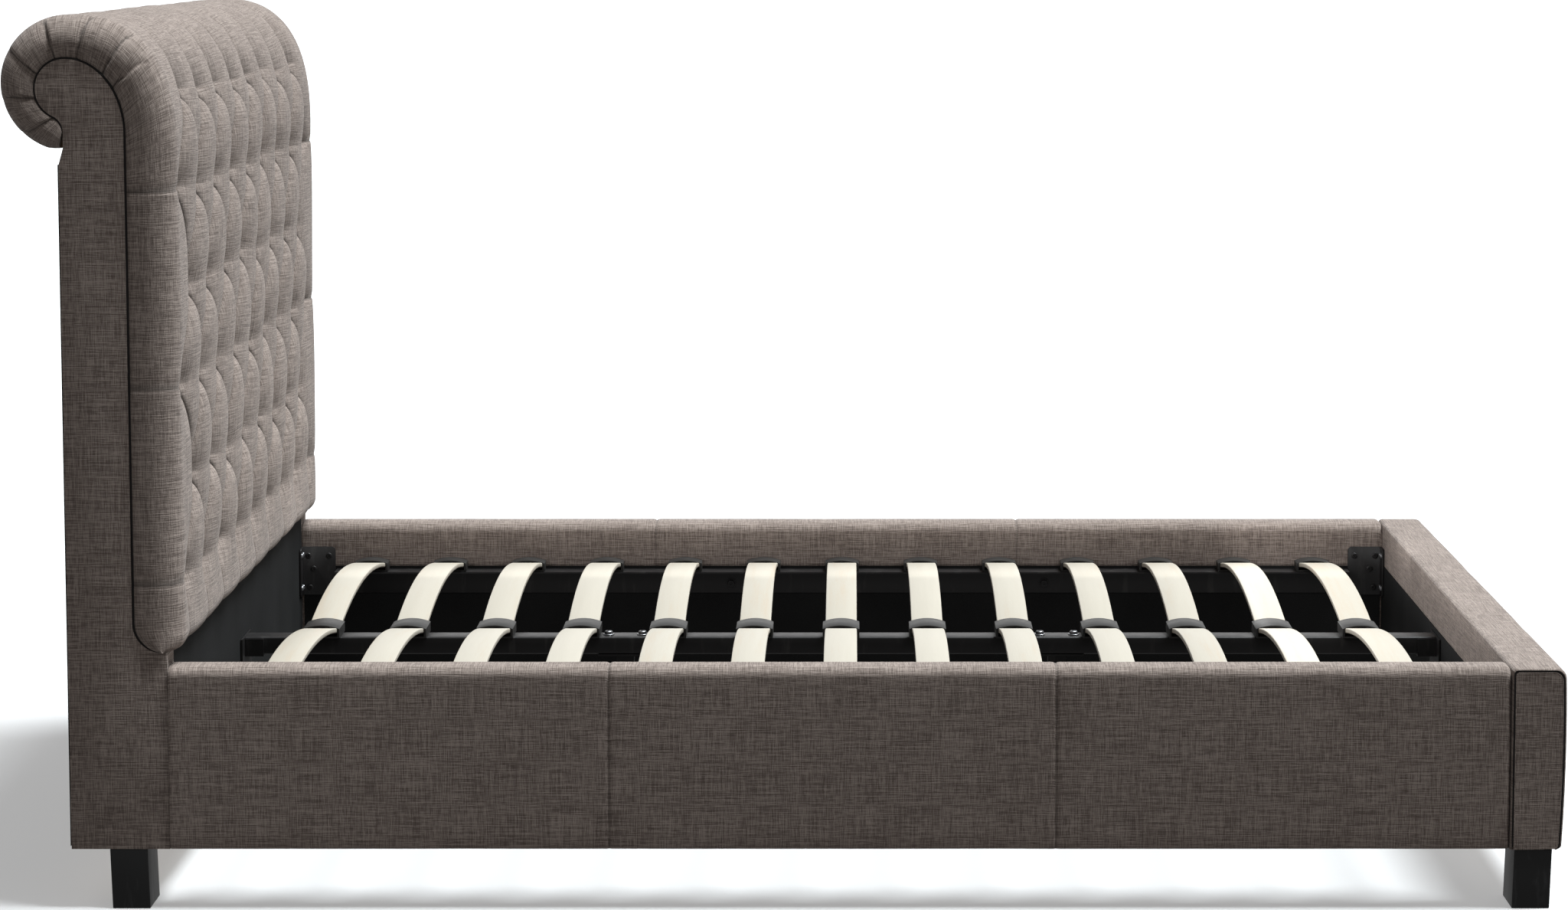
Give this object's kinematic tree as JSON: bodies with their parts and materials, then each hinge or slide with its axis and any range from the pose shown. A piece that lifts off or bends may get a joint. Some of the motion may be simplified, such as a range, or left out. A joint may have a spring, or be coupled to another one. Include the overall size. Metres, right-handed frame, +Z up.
{
  "type": "sleigh bed",
  "caption": "Upholstered sleigh bed with a scrolled deep-buttoned headboard, low footboard, padded side rails and sprung slats on a steel centre rail.",
  "frame": {"origin": "on the floor under the middle of the bed's overall length and width", "axes": "+X from the headboard to the footboard, +Y towards the right side rail (the far one seen from -Y), +Z up"},
  "size_m": [2.3798, 1.67, 1.364],
  "materials": {
    "taupe_linen": "slubby woven linen-look upholstery",
    "pine_timber": "sawn, unfinished, inside the upholstery",
    "black_cloth": "black dust cloth",
    "black_steel": "satin black powder coat",
    "pale_slat": "pale laminated wood, smooth",
    "black_leg": "satin black paint"
  },
  "bodies": {
    "root": {"centre_leg_foot": "black_steel", "centre_leg_head": "black_steel", "centre_rail": "black_steel", "centre_rail_cup_foot": "black_steel", "centre_rail_cup_head": "black_steel", "corner_bracket_foot_left": "black_steel", "corner_bracket_foot_right": "black_steel", "corner_bracket_head_left": "black_steel", "corner_bracket_head_right": "black_steel", "footboard_core": "pine_timber", "footboard_cover": "taupe_linen", "footboard_lining": "black_cloth", "headboard_back_cloth": "black_cloth", "headboard_base_board": "pine_timber", "headboard_base_lining": "black_cloth", "headboard_end_panel_left": "taupe_linen", "headboard_end_panel_right": "taupe_linen", "headboard_front_board": "pine_timber", "headboard_plinth": "pine_timber", "headboard_post_left": "pine_timber", "headboard_post_right": "pine_timber", "headboard_scroll_former": "pine_timber", "headboard_top_rail": "pine_timber", "headboard_tufted_pad": "taupe_linen", "leg_foot_left": "black_leg", "leg_foot_right": "black_leg", "leg_head_left": "black_leg", "leg_head_right": "black_leg", "side_ledger_left": "black_steel", "side_ledger_right": "black_steel", "side_rail_board_left": "pine_timber", "side_rail_board_right": "pine_timber", "side_rail_cover_left": "taupe_linen", "side_rail_cover_right": "taupe_linen", "slat_01_left": "pale_slat", "slat_01_right": "pale_slat", "slat_02_left": "pale_slat", "slat_02_right": "pale_slat", "slat_03_left": "pale_slat", "slat_03_right": "pale_slat", "slat_04_left": "pale_slat", "slat_04_right": "pale_slat", "slat_05_left": "pale_slat", "slat_05_right": "pale_slat", "slat_06_left": "pale_slat", "slat_06_right": "pale_slat", "slat_07_left": "pale_slat", "slat_07_right": "pale_slat", "slat_08_left": "pale_slat", "slat_08_right": "pale_slat", "slat_09_left": "pale_slat", "slat_09_right": "pale_slat", "slat_10_left": "pale_slat", "slat_10_right": "pale_slat", "slat_11_left": "pale_slat", "slat_11_right": "pale_slat", "slat_12_left": "pale_slat", "slat_12_right": "pale_slat", "slat_13_left": "pale_slat", "slat_13_right": "pale_slat"}
  },
  "joints": []
}
